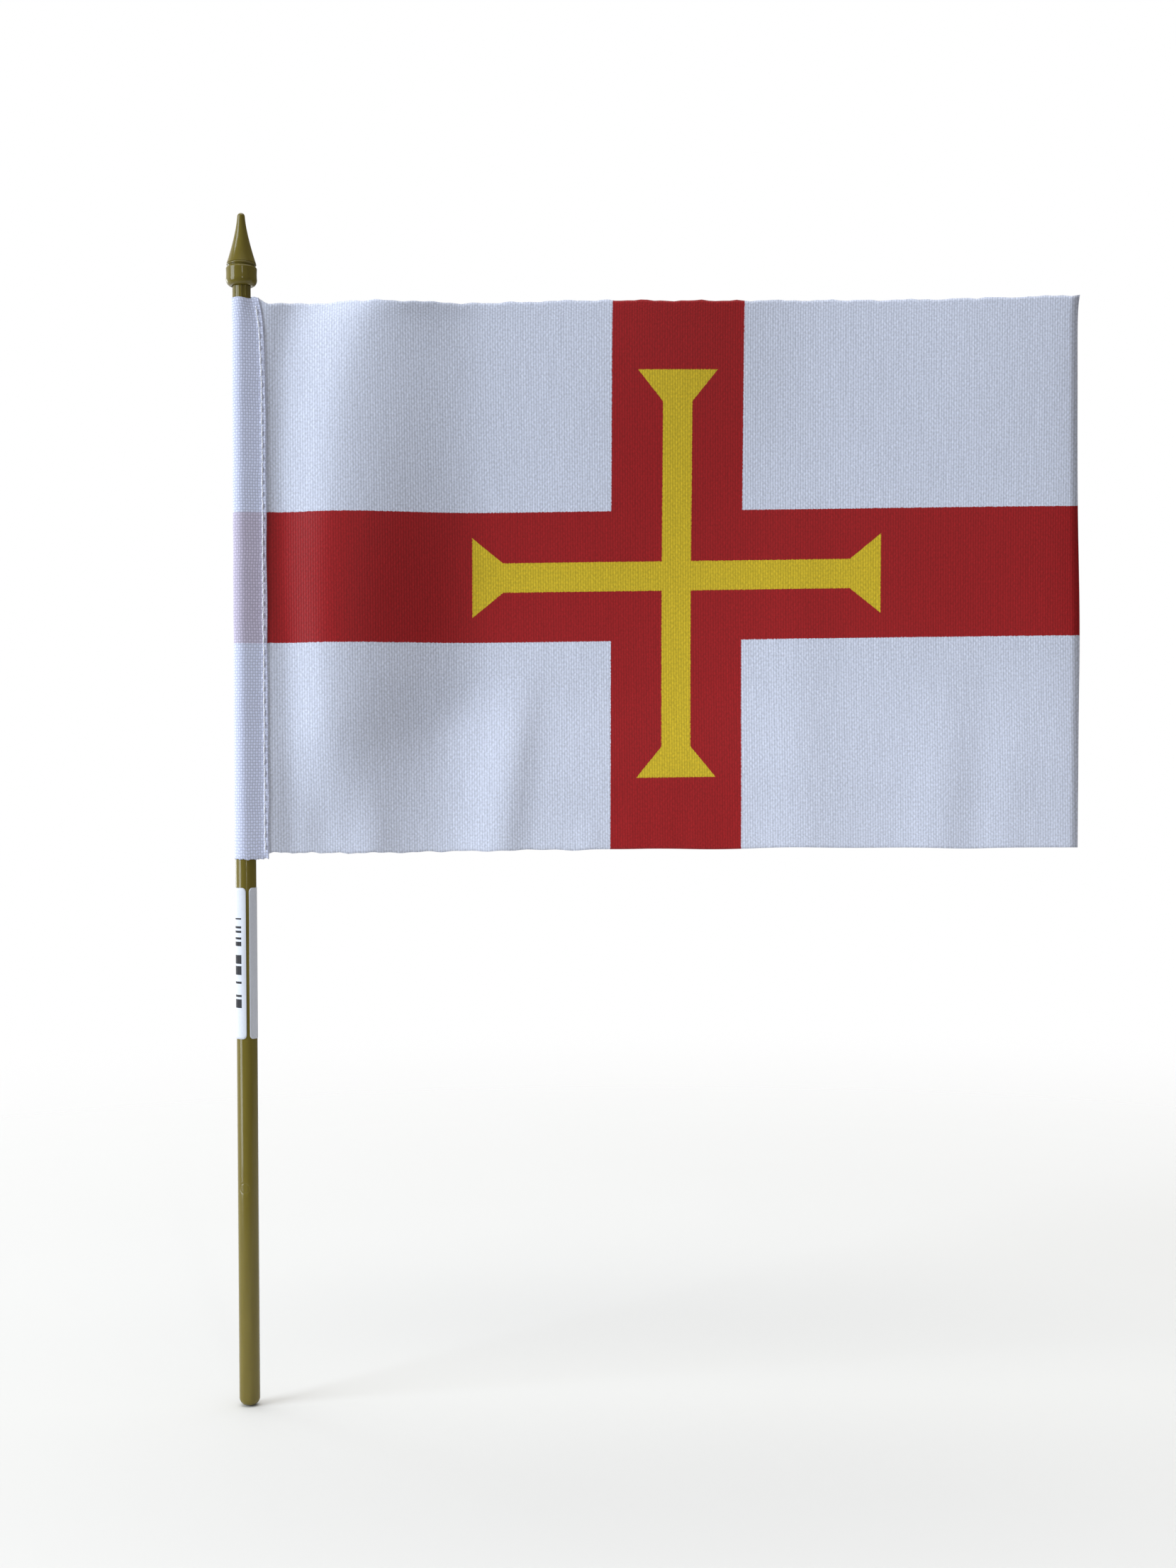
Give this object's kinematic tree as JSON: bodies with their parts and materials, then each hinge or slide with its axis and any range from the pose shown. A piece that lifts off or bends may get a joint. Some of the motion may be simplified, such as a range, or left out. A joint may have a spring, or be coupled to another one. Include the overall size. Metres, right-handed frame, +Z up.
{
  "type": "hand-waving stick flag",
  "caption": "Small hand-waving flag: a printed cloth sheet with an emblem cross, sewn in a sleeve round a moulded plastic stick with a spear finial.",
  "frame": {"origin": "centre of the flat on the stick's rounded bottom end, on the stick's axis", "axes": "+Z up the stick towards the finial's tip, +X from the stick towards the flag's fly edge, -Y out of the flag's printed front"},
  "size_m": [0.2332, 0.0084, 0.3245],
  "materials": {
    "olive_plastic": "moulded, glossy, olive gold",
    "flag_cloth": "woven polyester, satin face, printed",
    "hem_thread": "spun polyester thread, white",
    "label_paper": null
  },
  "bodies": {
    "stick": {"stick": "olive_plastic", "spear_finial": "olive_plastic", "paper_label": "label_paper"},
    "sleeve": {"flag_sleeve": "flag_cloth", "needle_thread": "hem_thread", "bobbin_thread": "hem_thread"},
    "panel": {"flag_panel": "flag_cloth"}
  },
  "joints": [
    {"name": "sleeve_turn", "type": "hinge", "parent": "stick", "child": "sleeve", "pos_m": [0, 0, 0.15], "axis": [0, 0, 1], "continuous": true},
    {"name": "cloth_flap", "type": "hinge", "parent": "sleeve", "child": "panel", "pos_m": [0.0071, 0, 0.15], "axis": [0, 0, 1], "range_deg": [-100, 100]}
  ]
}
